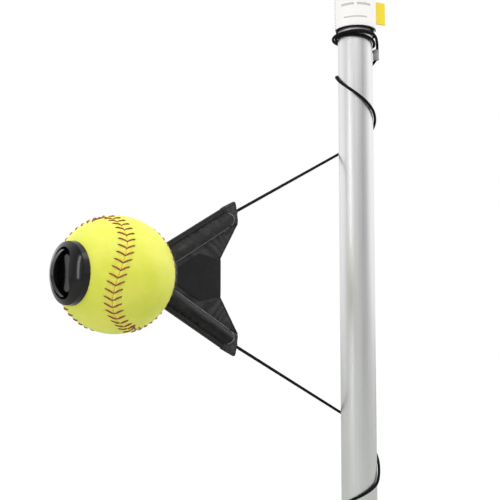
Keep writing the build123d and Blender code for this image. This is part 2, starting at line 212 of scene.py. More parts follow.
# ---- Materials ----
def add_node(tree, kind, settings=None, **inputs):
    """A shader node; inputs are values or sockets, named with _ for a space, or i0, i1 by number."""
    made = tree.nodes.new("ShaderNode" + kind)
    for key, value in (settings or {}).items():
        setattr(made, key, value)
    for key, value in inputs.items():
        numbered = key[0] == "i" and key[1:].isdigit()
        socket = made.inputs[int(key[1:]) if numbered else key.replace("_", " ")]
        if isinstance(value, bpy.types.NodeSocket):
            tree.links.new(value, socket)
        elif socket.type == "RGBA":
            socket.default_value = (*value, 1)
        else:
            socket.default_value = value
    return made


def start_material(name, **constants):
    """A new Principled material and its tree; constants go straight on the shader's own sockets."""
    material = bpy.data.materials.new(name)
    material.use_nodes = True
    shader = material.node_tree.nodes["Principled BSDF"]
    for key, value in constants.items():
        shader.inputs[key.replace("_", " ")].default_value = value
    return material, material.node_tree, shader


def place_of(tree, scale=(1, 1, 1), turn=(0, 0, 0)):
    """Object coordinates in metres, scaled and turned."""
    spot = add_node(tree, "TexCoord")
    return add_node(tree, "Mapping", Vector=spot.outputs["Object"], Scale=scale, Rotation=turn).outputs[0]


def speckle(tree, scale, detail, rough=0.55):
    """A noise value; scale is one number, or three to stretch the noise along the axes."""
    if isinstance(scale, tuple):
        where = place_of(tree, scale)
        scale = 1.0
    else:
        where = place_of(tree)
    made = add_node(tree, "TexNoise", Vector=where, Scale=scale, Detail=detail, Roughness=rough)
    return made.outputs["Fac"]


def painted(tree, name):
    """A number that paint stored in the mesh."""
    return add_node(tree, "Attribute", {"attribute_name": name}).outputs["Fac"]


def ramp(tree, value, *stops):
    """A colour ramp from (position, colour) stops; a number stands for a grey."""
    made = add_node(tree, "ValToRGB", Fac=value)
    band = made.color_ramp
    while len(band.elements) < len(stops):
        band.elements.new(1.0)
    for element, (position, colour) in zip(band.elements, stops):
        element.position = position
        element.color = (*colour, 1) if isinstance(colour, tuple) else (colour, colour, colour, 1)
    return made.outputs["Color"]


def blend_colour(tree, share, first, second, mode="MIX"):
    """Two colours mixed by a share, or blended in a mode."""
    settings = {"data_type": "RGBA", "blend_type": mode}
    return add_node(tree, "Mix", settings, i0=share, i6=first, i7=second).outputs[2]


def combine(tree, operation, first, second):
    """A Math node's result."""
    return add_node(tree, "Math", {"operation": operation}, i0=first, i1=second).outputs[0]


def bump(tree, height, distance, strength, under=None):
    """A bump normal, metres deep, laid over another."""
    made = add_node(tree, "Bump", Height=height, Distance=distance, Strength=strength)
    if under is not None:
        tree.links.new(under, made.inputs["Normal"])
    return made.outputs[0]


def finish_material(tree, shader, colour, roughness, normal):
    """Link what varies over the surface."""
    for name, socket in (("Base Color", colour), ("Roughness", roughness), ("Normal", normal)):
        tree.links.new(socket, shader.inputs[name])


def weave_height(tree, where, pitch):
    """Height of a plain weave: warp and weft ribs that pass over each other, pitch metres apart."""
    split_up = add_node(tree, "SeparateXYZ", Vector=where)
    turn = 2 * pi / pitch
    warp = combine(tree, "SINE", combine(tree, "MULTIPLY", split_up.outputs["X"], turn), 0.0)
    weft = combine(tree, "SINE", combine(tree, "MULTIPLY", split_up.outputs["Z"], turn), 0.0)
    over = combine(tree, "MULTIPLY", warp, weft)
    return combine(tree, "ADD", combine(tree, "ABSOLUTE", warp, 0.0), combine(tree, "MULTIPLY", over, 0.6))


def cloth_material(name, dark, light, pitch, depth, rough=0.75, turn=0.0):
    """A woven cloth: weave, worn lighter threads, a soft sheen, and the painted highlight and painted shade
    that its mesh stores.
    """
    material, tree, shader = start_material(
        name, Sheen_Weight=0.04, Sheen_Roughness=0.45, Specular_IOR_Level=0.15
    )
    woven = weave_height(tree, place_of(tree, turn=(0, turn, 0)), pitch)
    fleck = speckle(tree, 900.0, 2.0)
    broad = speckle(tree, 55.0, 4.0)
    tone = blend_colour(tree, broad, dark, light)
    worn = blend_colour(tree, combine(tree, "MULTIPLY", woven, 0.35), tone, light)
    shade = blend_colour(tree, 0.6, worn, ramp(tree, fleck, (0.35, 0.3), (0.65, 1.0)), "MULTIPLY")
    # Painted highlight on lit folds, crowns and lips, partly real rubbing wear, then painted shade in
    # creases, hollows and puckers.
    shade = blend_colour(tree, painted(tree, "rubbed_and_lit"), shade, (0.115, 0.115, 0.117))
    shade = blend_colour(tree, painted(tree, "painted_shade"), shade, (0.003, 0.003, 0.003))
    roughness = ramp(tree, broad, (0.3, rough - 0.08), (0.7, rough + 0.1))
    crease = bump(tree, broad, 0.0012, 0.5)
    finish_material(tree, shader, shade, roughness, bump(tree, woven, depth, 0.9, crease))
    return material


def aluminium_material():
    """Drawn aluminium tube: long fine streaks, faint scuffs."""
    material, tree, shader = start_material("drawn_aluminium", Metallic=1.0, Anisotropic=0.35)
    streak = speckle(tree, (900, 900, 5), 5.0)
    cloud = speckle(tree, (60, 60, 14), 3.0)
    scuff = speckle(tree, (260, 260, 900), 2.0)
    tone = ramp(tree, streak, (0.3, (0.61, 0.615, 0.62)), (0.7, (0.71, 0.715, 0.72)))
    tone = blend_colour(tree, 0.25, tone, ramp(tree, cloud, (0.35, 0.85), (0.65, 1.0)), "MULTIPLY")
    roughness = ramp(tree, streak, (0.3, 0.34), (0.7, 0.44))
    fine = bump(tree, streak, 0.00002, 0.5)
    finish_material(tree, shader, tone, roughness, bump(tree, scuff, 0.000008, 0.3, fine))
    return material


def leather_material():
    """Optic yellow leather: fine grain, a little mottling, a painted warm light from the red thread beside
    the seam, and painted shade in the seam's channel.
    """
    material, tree, shader = start_material(
        "optic_leather", Specular_IOR_Level=0.5, Sheen_Weight=0.06, Sheen_Roughness=0.4,
        Subsurface_Weight=0.12, Subsurface_Radius=(0.004, 0.003, 0.001), Subsurface_Scale=0.5
    )
    mottle = speckle(tree, 38.0, 4.0)
    patches = ramp(tree, mottle, (0.35, 0.0), (0.65, 1.0))
    tone = blend_colour(tree, patches, (0.66, 0.71, 0.052), (0.75, 0.76, 0.100))
    # Painted warm light from the red thread beside the seam, then painted warm shade in the seam's channel.
    tone = blend_colour(tree, painted(tree, "seam_thread_light"), tone, (0.93, 0.74, 0.13))
    tone = blend_colour(tree, painted(tree, "seam_channel_shade"), tone, (0.76, 0.62, 0.07))
    to_edge = {"feature": "DISTANCE_TO_EDGE"}
    cells = add_node(tree, "TexVoronoi", to_edge, Vector=place_of(tree), Scale=1100.0)
    grain = ramp(tree, cells.outputs["Distance"], (0.0, 0.0), (0.25, 1.0))
    pores = speckle(tree, 420.0, 3.0)
    roughness = ramp(tree, mottle, (0.3, 0.42), (0.7, 0.56))
    normal = bump(tree, pores, 0.00008, 0.35)
    finish_material(tree, shader, tone, roughness, bump(tree, grain, 0.00004, 0.35, normal))
    return material


def thread_material():
    """Waxed red thread, with painted shade where it dives into its holes."""
    material, tree, shader = start_material("waxed_red_thread", Sheen_Weight=0.1)
    fibre = speckle(tree, 1500.0, 2.0)
    tone = ramp(tree, fibre, (0.3, (0.20, 0.022, 0.009)), (0.7, (0.36, 0.052, 0.018)))
    tone = blend_colour(tree, painted(tree, "hole_shade"), tone, (0.035, 0.008, 0.006))
    roughness = ramp(tree, fibre, (0.3, 0.4), (0.7, 0.6))
    finish_material(tree, shader, tone, roughness, bump(tree, fibre, 0.0001, 0.5))
    return material


def plastic_material(name, colour, rough, coat=0.0, lathe=False, shine=0.5):
    """Moulded plastic with fine texture; lathe adds polishing lines round the ball's axis."""
    material, tree, shader = start_material(
        name, Coat_Weight=coat, Coat_Roughness=0.12, Specular_IOR_Level=shine
    )
    grain = speckle(tree, 700.0, 2.0)
    wear = speckle(tree, 90.0, 5.0, 0.65)
    light = tuple(c * 1.9 + 0.002 for c in colour)
    tone = blend_colour(tree, ramp(tree, wear, (0.45, 0.0), (0.75, 1.0)), colour, light)
    roughness = ramp(tree, wear, (0.3, rough), (0.75, rough + 0.14))
    normal = bump(tree, grain, 0.00002, 0.4)
    if lathe:
        lines = speckle(tree, (1400, 30, 30), 3.0)
        normal = bump(tree, lines, 0.00012, 0.8, normal)
    finish_material(tree, shader, tone, roughness, normal)
    return material


def metal_material(name, colour, rough):
    """Plain turned or plated metal with fine tool marks."""
    material, tree, shader = start_material(name, Metallic=1.0)
    marks = speckle(tree, 1600.0, 2.0)
    tone = blend_colour(tree, marks, tuple(c * 0.8 for c in colour), colour)
    roughness = ramp(tree, marks, (0.3, rough), (0.7, rough + 0.15))
    finish_material(tree, shader, tone, roughness, bump(tree, marks, 0.00002, 0.4))
    return material


def cord_material():
    """Elastic cord's braided jacket: two sets of diagonal yarns, along and round the cord."""
    material, tree, shader = start_material("braided_cord", Specular_IOR_Level=0.12)
    spot = add_node(tree, "TexCoord").outputs["UV"]
    parts = add_node(tree, "SeparateXYZ", Vector=spot)
    yarns_along = 170
    yarns_around = 6
    along = combine(tree, "MULTIPLY", parts.outputs["X"], 2 * pi * yarns_along)
    around = combine(tree, "MULTIPLY", parts.outputs["Y"], 2 * pi * yarns_around)
    one_way = combine(tree, "SINE", combine(tree, "ADD", along, around), 0.0)
    other_way = combine(tree, "SINE", combine(tree, "SUBTRACT", along, around), 0.0)
    braid = combine(tree, "MAXIMUM", one_way, other_way)
    fibre = speckle(tree, 1800.0, 2.0)
    tone = ramp(tree, braid, (0.1, (0.0015, 0.0015, 0.002)), (0.9, (0.008, 0.008, 0.009)))
    tone = blend_colour(tree, 0.4, tone, ramp(tree, fibre, (0.3, 0.4), (0.7, 1.0)), "MULTIPLY")
    normal = bump(tree, braid, 0.00018, 0.8)
    roughness = ramp(tree, fibre, (0.3, 0.6), (0.7, 0.85))
    finish_material(tree, shader, tone, roughness, bump(tree, fibre, 0.00005, 0.4, normal))
    return material


def simple_material(name, low, high, scale, rough, depth=0.00005, **constants):
    """A finish whose colour, roughness and fine bump follow one noise."""
    material, tree, shader = start_material(name, **constants)
    value = speckle(tree, scale, 4.0)
    tone = ramp(tree, value, (0.3, low), (0.7, high))
    roughness = ramp(tree, value, (0.3, rough), (0.7, min(1.0, rough + 0.15)))
    finish_material(tree, shader, tone, roughness, bump(tree, value, depth, 0.6))
    return material


def near_grey(level, blue=0.001):
    """A grey with slightly more blue."""
    return (level, level, level + blue)


aluminium = aluminium_material()
leather = leather_material()
red_thread = thread_material()
gloss_black = plastic_material(
    "gloss_black_plastic", (0.0015, 0.0015, 0.002), 0.18, coat=0.55, lathe=True, shine=0.05
)
matt_black = plastic_material("matt_black_plastic", near_grey(0.014), 0.42)
steel = metal_material("zinc_plated_steel", (0.60, 0.61, 0.63), 0.30)
brass = metal_material("brass", (0.75, 0.55, 0.25), 0.28)
cord_cover = cord_material()
# Cloths: dark and light tone, weave pitch and depth in metres.
hem_cloth = cloth_material("hem_cloth", near_grey(0.004), near_grey(0.042), 0.0011, 0.00022)
sleeve_cloth = cloth_material("sleeve_cloth", near_grey(0.006), near_grey(0.030), 0.0009, 0.0002, turn=0.5)
mesh_cloth = cloth_material("mesh_cloth", near_grey(0.003), near_grey(0.075, 0.003), 0.0019, 0.0006, turn=0.9)
patch_cloth = cloth_material("patch_cloth", near_grey(0.007), near_grey(0.012), 0.0005, 0.00003, rough=0.6)
webbing_cloth = cloth_material("webbing_cloth", near_grey(0.012), near_grey(0.035), 0.0014, 0.0003)
strap_cloth = cloth_material("strap_cloth", near_grey(0.010), near_grey(0.030), 0.0015, 0.0003)
# Light grey here is a painted highlight: the fold ridges and sleeve rims are black cloth catching light.
piping_highlight_cloth = cloth_material("piping_highlight_cloth", near_grey(0.17, 0.002), near_grey(0.38, 0.005), 0.0010, 0.0002)
# Plain finishes: low and high tone, the noise's scale, roughness and bump depth in metres.
black_thread = simple_material("black_thread", near_grey(0.004, 0), near_grey(0.014, 0), 2200.0, 0.6)
stiffener_foam = simple_material(
    "stiffener_foam", near_grey(0.10, 0.005), near_grey(0.19, 0.005), 900.0, 0.85, 0.0003
)
core_cork = simple_material("core_kapok", (0.42, 0.27, 0.14), (0.62, 0.46, 0.28), 500.0, 0.85, 0.0004)
bearing_plastic = simple_material(
    "bearing_acetal", (0.72, 0.72, 0.70), (0.82, 0.82, 0.80), 300.0, 0.35, 0.00001
)
ferrule_plastic = simple_material(
    "ferrule_plastic", (0.30, 0.31, 0.32), (0.45, 0.46, 0.47), 260.0, 0.28, 0.00003,
    Transmission_Weight=0.35, Coat_Weight=0.3
)
label_cloth = simple_material("label_cloth", near_grey(0.80, 0), (0.90, 0.90, 0.89), 1400.0, 0.6, 0.00008)
label_ink = simple_material("label_ink", near_grey(0.42, 0.01), near_grey(0.60, 0.01), 1500.0, 0.6, 0.00004)
tab_cloth = simple_material("tab_cloth", (0.80, 0.62, 0.01), (0.90, 0.74, 0.03), 1300.0, 0.6, 0.0001)

# CAD solids that are shown as they are.
node_finish = {
    "pole_tube": aluminium,
    "ball_core": core_cork,
    "spindle_sleeve": bearing_plastic,
    "through_bolt": steel,
    "cap_insert": brass,
    "end_cap": gloss_black,
    "rear_saddle": matt_black,
    "saddle_pin": steel,
}
for half_name, _, _ in strap_edges:
    node_finish[f"{half_name}_stiffener"] = stiffener_foam
    node_finish[f"{half_name}_stopper_knot"] = cord_cover
    node_finish[f"{half_name}_ferrule"] = ferrule_plastic
for node_name, finish in node_finish.items():
    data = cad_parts[node_name].data
    data.materials.clear()
    data.materials.append(finish)


# ---- Camera, floor and light ----
def set_camera():
    """The photograph's view: from the front left, just below the ball's level, looking slightly up."""
    data = bpy.data.cameras.new("camera")
    data.lens = 54.9
    data.sensor_width = 36.0
    camera = bpy.data.objects.new("camera", data)
    camera.location = (-0.6769, -0.4913, 0.3770)
    look_up = radians(3.96)
    heading = radians(-46.02)
    camera.rotation_euler = (pi / 2 + look_up, 0, heading)
    bpy.context.scene.collection.objects.link(camera)
    bpy.context.scene.camera = camera


def set_floor():
    """A wide pale floor, level with the pole's foot, almost white to the eye."""
    mesh = bpy.data.meshes.new("floor")
    half = 6.0
    corners = [(-half, -half, 0), (half, -half, 0), (half, half, 0), (-half, half, 0)]
    mesh.from_pydata(corners, [], [(0, 1, 2, 3)])
    pale = simple_material("pale_floor", (0.53, 0.55, 0.52), (0.56, 0.58, 0.55), 3.0, 0.8)
    tree = pale.node_tree
    glow = add_node(tree, "Emission", Color=(1, 1, 1), Strength=1.1)
    seen = combine(tree, "MULTIPLY", add_node(tree, "LightPath").outputs["Is Camera Ray"], 0.85)
    surface = tree.nodes["Principled BSDF"].outputs[0]
    both = add_node(tree, "MixShader", i0=seen, i1=surface, i2=glow.outputs[0])
    tree.links.new(both.outputs[0], tree.nodes["Material Output"].inputs["Surface"])
    add_object("floor", mesh, pale)


def add_softbox(name, place, target, size, power, colour):
    """A rectangular area light that looks at a point."""
    data = bpy.data.lights.new(name, "AREA")
    data.shape = "RECTANGLE"
    data.size, data.size_y = size
    data.energy = power
    data.color = colour
    light = bpy.data.objects.new(name, data)
    light.location = place
    light.rotation_mode = "QUATERNION"
    light.rotation_quaternion = (Vector(place) - Vector(target)).to_track_quat("Z", "Y")
    bpy.context.scene.collection.objects.link(light)


def set_world():
    """White to the eye; as light, a studio with bright and dark walls round the object."""
    world = bpy.data.worlds.new("studio")
    bpy.context.scene.world = world
    world.use_nodes = True
    tree = world.node_tree
    tree.nodes.clear()
    facing = add_node(tree, "SeparateXYZ", Vector=add_node(tree, "TexCoord").outputs["Generated"])
    heading = combine(tree, "ARCTAN2", facing.outputs["Y"], facing.outputs["X"])
    share = combine(tree, "ADD", combine(tree, "DIVIDE", heading, 2 * pi), 0.5)
    # Stops: share of a turn from -X by way of -Y, and the wall's brightness there.
    walls = ((0.0, 0.33), (0.086, 0.55), (0.245, 0.2), (0.389, 0.92), (0.622, 0.55), (0.828, 0.85),
             (0.972, 0.27), (1.0, 0.33))
    lit = add_node(tree, "Background", Color=ramp(tree, share, *walls), Strength=1.72)
    seen = add_node(tree, "Background", Color=(1, 1, 1), Strength=1.0)
    ray = add_node(tree, "LightPath").outputs["Is Camera Ray"]
    both = add_node(tree, "MixShader", i0=ray, i1=lit.outputs[0], i2=seen.outputs[0])
    tree.links.new(both.outputs[0], add_node(tree, "OutputWorld").inputs["Surface"])


target = ball_centre * mm
set_camera()
set_floor()
set_world()
add_softbox("key_left", (-1.75, 0.1, 0.7), target, (0.16, 1.1), 3.9, (1.0, 0.98, 0.95))
add_softbox("key_front", (-0.85, -0.85, 1.75), target, (0.9, 0.7), 10.5, (1.0, 0.93, 0.93))
add_softbox("key_right", (0.6, -0.8, 1.8), target, (0.8, 0.8), 4, (1.0, 0.95, 0.89))
add_softbox("top", (-0.3, 0.0, 1.9), (-0.2, 0, 0.4), (1.0, 1.0), 4, (1.0, 0.93, 0.93))
bpy.context.scene.view_settings.view_transform = "Standard"


# ---- Cords: the CAD routes, in millimetres, as NURBS control points ----
turn_step = 30  # degrees between a wound cord's points
straight_lead = 18.0  # the span stays straight to this far from the pole
hinge_clear = 1.9  # from the wing's swivel line to the cord's end
first_turn = 90 + 360 - turn_step / 2  # the span leaves the pole half a step on, at 90 degrees
# Angle seen from above, height from the ball's level towards the strap, radius; the first is in
# the ferrule.
main_stations = {
    "upper": [(-38, 246.5, 23.6), (-15, 241.0, 22.0), (15, 238.5, wrap_r), (130, 227.0, wrap_r),
              (306, 177.7, wrap_r), (328, 170.5, wrap_r), (first_turn, 146.8, wrap_r)],
    "lower": [(-38, 256.5, 23.6), (-15, 251.0, 22.0), (15, 248.5, wrap_r), (130, 240.0, wrap_r),
              (290, 210.0, wrap_r), (318, 192.0, wrap_r), (first_turn, 146.8, wrap_r)],
}
# The noose that holds each cord: height is measured from the strap's edge towards the ball.
noose_stations = [(-40, -21.5, 22.2), (-15, -16.5, 21.4), (15, -13.0, wrap_r), (90, -9.0, wrap_r),
                  (200, -4.6, wrap_r), (320, -3.8, wrap_r), (450, -5.6, wrap_r), (560, -8.2, wrap_r),
                  (620, -10.5, wrap_r), (680, -15.5, wrap_r), (705, -12.9, wrap_r), (735, -9.7, 21.0),
                  (770, -7.9, 22.9), (810, -7.4, 24.2), (920, -6.2, 24.2), (980, -6.8, 24.2),
                  (1010, -9.5, 24.6), (1035, -16.0, 25.0), (1040, -19.5, 25.1)]


def round_pole(angle, level, radius):
    """A point round the pole: degrees seen from above, height above the floor, distance from the axis."""
    turned = radians(angle)
    return Vector((radius * cos(turned), radius * sin(turned), level))


def ring_point(angle, height, radius):
    """A point round the pole, at a height above the ball's level."""
    return round_pole(angle, ball_height + height, radius)


def wound(stations):
    """Control points of a cord wound round the pole, turn_step degrees apart, from the last station back."""
    points = []
    angle = stations[-1][0]
    while angle >= stations[0][0]:
        for (a0, h0, r0), (a1, h1, r1) in zip(stations, stations[1:]):
            if a0 <= angle <= a1:
                share = (angle - a0) / (a1 - a0)
                here = (h0 + (h1 - h0) * share, r0 + (r1 - r0) * share)
        points.append(ring_point(angle, here[0], here[1] / cos(radians(turn_step / 2))))
        angle -= turn_step
    return points


def add_cord(name, node, route):
    """One braided cord along its route, between the object's own pieces."""
    curve = bpy.data.curves.new(name, "CURVE")
    curve.dimensions = "3D"
    curve.bevel_depth = cord_d / 2 * mm
    curve.bevel_resolution = 4
    curve.use_fill_caps = True
    spline = curve.splines.new("NURBS")
    spline.points.add(len(route) - 1)
    for point, place in zip(spline.points, route):
        point.co = (*(place * mm), 1)
    spline.order_u = 3
    spline.use_endpoint_u = True
    spline.resolution_u = 10
    line = add_object(name, curve, cord_cover)
    settle(line, "tether", "cord", node)


for cord_name, side, strap_edge in strap_edges:
    exit_point = ball_centre + Vector((wing_hinge, 0, side * cord_exit_height))
    mirrored = [(a, side * h, r) for a, h, r in main_stations[cord_name]]
    turns = wound(mirrored)
    span = turns[0] - exit_point
    start = exit_point + span.normalized() * hinge_clear
    lead = turns[0] - span.normalized() * straight_lead
    route = [start, lead, *turns, ring_point(*mirrored[0])]
    add_cord(f"{cord_name}_tether_line", f"{cord_name}_cord", route)
    noose = [(a, side * (strap_edge + h), r) for a, h, r in noose_stations]
    route = [ring_point(*noose[-1]), *wound(noose)[1:-1], ring_point(*noose[0])]
    add_cord(f"{cord_name}_noose_line", f"{cord_name}_cord_noose", route)


# ---- Ball: two leather panels sewn with 88 stitches ----
seam_lobe = 0.416  # radians from the lobe axis to the seam where it comes nearest
seam_heading = radians(193.3)  # where it comes nearest, seen from above
seam_lean = radians(3.0)  # how far the lobe axis leans from upright
lobe_axis = Vector((sin(seam_lean), 0, cos(seam_lean))).normalized()
seam_x = Vector((cos(seam_heading), sin(seam_heading), sin(seam_lean)))
seam_x = (seam_x - lobe_axis * seam_x.dot(lobe_axis)).normalized()
seam_y = lobe_axis.cross(seam_x)
stitch_count = 88
steps_per_stitch = 10
stitch_reach = 7.1  # how far a stroke runs from the seam
stitch_rise = 3.2  # how far back along the stitch its holes lie
thread_r = 0.6
# The fine strip's points, by distance from the seam.
strip_offsets = (0, 0.3, 0.6, 1.0, 1.5, 2.1, 2.8, 3.6, 4.5, 5.4, 6.2, 6.9, 7.6, 8.5)
filler_gap = 0.7  # from the strip to the points of the surface inside it
leather_thickness = 1.9
open_leather = 20.0  # stands for any distance beyond the seam's shape and colour
thread_clear = 1.5  # stitches keep this far from the cap's and the saddle's edge
cap_recess_r = 22.0
saddle_recess_r = 20.0
cap_foot_r = 25.5
saddle_flange_r = 23.0


def seam_direction(t):
    """Unit vector from the ball centre to the seam, t from 0 to 4 pi."""
    tilt = pi / 2 - (pi / 2 - seam_lobe) * cos(t)
    turn = t / 2 + seam_lobe * sin(2 * t)
    return seam_x * (sin(tilt) * cos(turn)) + seam_y * (sin(tilt) * sin(turn)) + lobe_axis * cos(tilt)


def even_seam(count):
    """Directions evenly spaced along the seam, each with unit vectors across it, to panel b, and along it."""
    fine = 6000
    line = [seam_direction(4 * pi * i / fine) for i in range(fine + 1)]
    travelled = [0.0]
    for a, b in zip(line, line[1:]):
        travelled.append(travelled[-1] + (b - a).length)
    stations = []
    i = 0
    for step in range(count):
        due = travelled[-1] * step / count
        while travelled[i + 1] < due:
            i += 1
        share = (due - travelled[i]) / (travelled[i + 1] - travelled[i])
        here = line[i].lerp(line[i + 1], share).normalized()
        ahead = (line[i + 1] - line[i]).normalized()
        stations.append((here, here.cross(ahead).normalized(), ahead))
    return stations


seam = even_seam(stitch_count * steps_per_stitch)
seam_tree = kdtree.KDTree(len(seam))
for index, (here, across, ahead) in enumerate(seam):
    seam_tree.insert(here, index)
seam_tree.balance()


def stitch_frame(index):
    """A stitch's place on the seam, its direction across, and its own axis, kept near the lobe axis."""
    here, _, ahead = seam[index * steps_per_stitch]
    upright = (lobe_axis - here * lobe_axis.dot(here)).normalized()
    share = ahead.dot(upright)
    axis = upright * share + ahead * (1 - abs(share))
    axis = (axis - here * axis.dot(here)).normalized()
    return here, here.cross(axis), axis


stitches = [stitch_frame(index) for index in range(stitch_count)]


def shoulder_height(offset):
    """Height of the rounded edge that the leather has beside the seam."""
    return 0.35 * bell(offset - 1.7, 1.5)


def seam_lift(offset, direction, station):
    """Height of the leather over the ball's sphere: shoulders, a channel between, dips under stitches."""
    channel = -0.4 * bell(offset, 0.5)
    dip = 0.0
    nearest = station // steps_per_stitch
    for index in (nearest - 1, nearest, nearest + 1, nearest + 2):
        here, lateral, axis = stitches[index % stitch_count]
        out = abs((direction - here).dot(lateral)) * ball_r
        inward = max(0.0, 1 - out / stitch_reach)
        off_stroke = (direction - here).dot(axis) * ball_r + stitch_rise * (1 - inward**1.8)
        if out < stitch_reach:
            dip = min(dip, -0.2 * bell(off_stroke, 0.8))
        dip = min(dip, -0.5 * bell(out - stitch_reach, 0.8) * bell(off_stroke, 0.8))
    return shoulder_height(offset) + channel + dip


def on_ball(here, across, offset):
    """Direction at a distance from the seam, along the ball's surface."""
    angle = offset / ball_r
    return here * cos(angle) + across * sin(angle)


def cap_angle(direction):
    """Angle between a direction and the end cap's axis; the saddle's is pi less this."""
    return acos(clamp(-direction.x, -1.0, 1.0))


def in_hole(direction):
    """True inside the recesses that the cap and the saddle cover."""
    angle = cap_angle(direction)
    return angle < asin(cap_recess_r / ball_r) or pi - angle < asin(saddle_recess_r / ball_r)


def panel_mesh(name, side, node):
    """One leather panel: a fine strip along the seam, and the ball's surface inside it; side 1 is b."""
    directions = []
    lifts = []
    offsets = []
    for i, (here, across, _) in enumerate(seam):
        for offset in strip_offsets:
            directions.append(on_ball(here, across, side * offset))
            lifts.append(seam_lift(offset, directions[-1], i))
            offsets.append(offset)
    wide = len(strip_offsets)
    faces = []
    for i in range(len(seam)):
        a = i * wide
        b = (i + 1) % len(seam) * wide
        for j in range(wide - 1):
            faces.append((a + j, a + j + 1, b + j + 1, b + j))

    middle_up = lobe_axis * side
    flat_y = middle_up.cross(seam_x)

    def flattened(direction):
        """Stereographic point, from the far side of the panel's middle."""
        scale = 1 / (1 + direction.dot(middle_up))
        return Vector((direction.dot(seam_x) * scale, direction.dot(flat_y) * scale))

    def off_seam(direction):
        """Distance from the seam in millimetres, positive on this panel."""
        found, index, _ = seam_tree.find(direction)
        _, across, ahead = seam[index]
        gap = direction - found
        gap = gap - ahead * gap.dot(ahead)
        return side * ball_r * gap.dot(across)

    border = [i * wide + wide - 1 for i in range(len(seam))]
    inner = []
    filler = 9000
    golden = pi * (3 - sqrt(5))
    for i in range(filler):
        z = 1 - 2 * (i + 0.5) / filler
        across_r = sqrt(1 - z * z)
        direction = Vector((across_r * cos(golden * i), across_r * sin(golden * i), z))
        if off_seam(direction) > strip_offsets[-1] + filler_gap:
            inner.append(direction)
    first = len(directions)
    directions.extend(inner)
    lifts.extend([0.0] * len(inner))
    offsets.extend([open_leather] * len(inner))
    chosen = border + list(range(first, len(directions)))
    flat = [flattened(directions[i]) for i in chosen]
    edges = [(k, (k + 1) % len(border)) for k in range(len(border))]
    _, _, triangles, came_from, _, _ = delaunay_2d_cdt(flat, edges, [], 0, 1e-7)
    for triangle in triangles:
        corners = [chosen[came_from[k][0]] for k in triangle]
        middle = sum((directions[k] for k in corners), Vector()).normalized()
        if off_seam(middle) > strip_offsets[-1] - 0.05:
            faces.append(tuple(corners))
    faces = [f for f in faces if not in_hole(sum((directions[k] for k in f), Vector()).normalized())]

    used = sorted({k for f in faces for k in f})
    renumber = {k: n for n, k in enumerate(used)}
    points = [ball_centre + directions[k] * (ball_r + lifts[k]) for k in used]
    mesh = smooth_mesh(name, points, [tuple(renumber[k] for k in f) for f in faces])
    # Painted thread light beside the seam and painted shade in its channel.
    paint(mesh, "seam_thread_light", [0.35 * bell(offsets[k], 2.4) for k in used])
    paint(mesh, "seam_channel_shade", [0.5 * bell(offsets[k], 0.5) for k in used])
    panel = add_object(name, mesh, leather)
    thick = panel.modifiers.new("thickness", "SOLIDIFY")
    thick.thickness = leather_thickness * mm
    thick.offset = -1
    settle(panel, "ball", "cover", node)


def stroke_mesh(index, side):
    """One stroke of a stitch, a two-ply thread from its hole to the seam, and how much painted shade each
    point gets at its hole.
    """
    here, lateral, axis = stitches[index]
    rings = []
    hole_shade = []
    count = 9
    for step in range(count + 1):
        share = step / count
        offset = side * (stitch_reach * (1 - share) + 0.25 * share)
        back = stitch_rise * (1 - share**1.8)
        direction = (here * ball_r + lateral * offset - axis * back).normalized()
        dive = 1.1 * bell(share, 0.12) + 0.75 * bell(1 - share, 0.09)
        swell = 0.72 + 0.28 * sin(pi * min(1, share * 1.1)) ** 0.5
        arch = 0.12 * sin(pi * share)
        middle = direction * (ball_r + 0.12 + arch - dive + shoulder_height(abs(offset)))
        rings.append((middle, direction, swell))
        # Painted shade, strongest where the thread dives into its hole.
        hole_shade.append(max(bell(share, 0.16), 0.55 * bell(1 - share, 0.07)))
    spokes = circle_steps(10)
    line = [middle for middle, _, _ in rings]
    sections = []
    for k, (middle, up, swell) in enumerate(rings):
        ahead = path_heading(line, k)
        sideways = ahead.cross(up).normalized()
        up = sideways.cross(ahead)
        ring = []
        for turn in spokes:
            radius = thread_r * swell * (1 + 0.16 * cos(2 * turn - side * k * 0.9))
            ring.append(ball_centre + middle + (sideways * cos(turn) + up * sin(turn)) * radius)
        sections.append(ring)
    return skin(sections), [b for b in hole_shade for _ in spokes]


def add_stitching():
    """All the ball's stitches, but for strokes that the cap or the saddle would sit on."""
    cap_edge = asin((cap_foot_r + thread_clear) / ball_r)
    saddle_edge = pi - asin((saddle_flange_r + thread_clear) / ball_r)
    parts = []
    hole_shade = []
    for index in range(stitch_count):
        for side in (1, -1):
            here, lateral, _ = stitches[index]
            offsets = (0.3, 0.65 * stitch_reach, stitch_reach)
            angles = [cap_angle(on_ball(here, lateral, side * offset)) for offset in offsets]
            if all(cap_edge <= angle <= saddle_edge for angle in angles):
                part, depth = stroke_mesh(index, side)
                parts.append(part)
                hole_shade.extend(depth)
    points, faces = gather(parts)
    mesh = bpy.data.meshes.new("ball_stitching")
    mesh.from_pydata([p * mm for p in points], [], faces)
    paint(mesh, "hole_shade", hole_shade)
    mesh.shade_smooth()
    settle(add_object("ball_stitching", mesh, red_thread), "ball", "cover")


panel_mesh("ball_leather_b", 1, "ball_cover_b")
panel_mesh("ball_leather_a", -1, "ball_cover_a")
add_stitching()


# ---- Wing: fabric in the wing's plane ----
def wing_place(x, y, depth):
    """Row-frame millimetres of a point in the wing's plane, at a depth towards the front."""
    return ball_centre + Vector((x, -depth, y))


def arm_point(along, across, side=1):
    """Wing-plane point from distances along an arm and in from its outer edge; side -1 is the lower."""
    x = arm_root[0] + along * arm_cos + across * arm_sin
    y = arm_root[1] + along * arm_sin - across * arm_cos
    return (x, side * y)


def ripple(x, y, size, seed):
    """Smooth noise over the wing's plane, about -1 to 1."""
    return noise.noise(Vector((x / size, y / size, seed)))


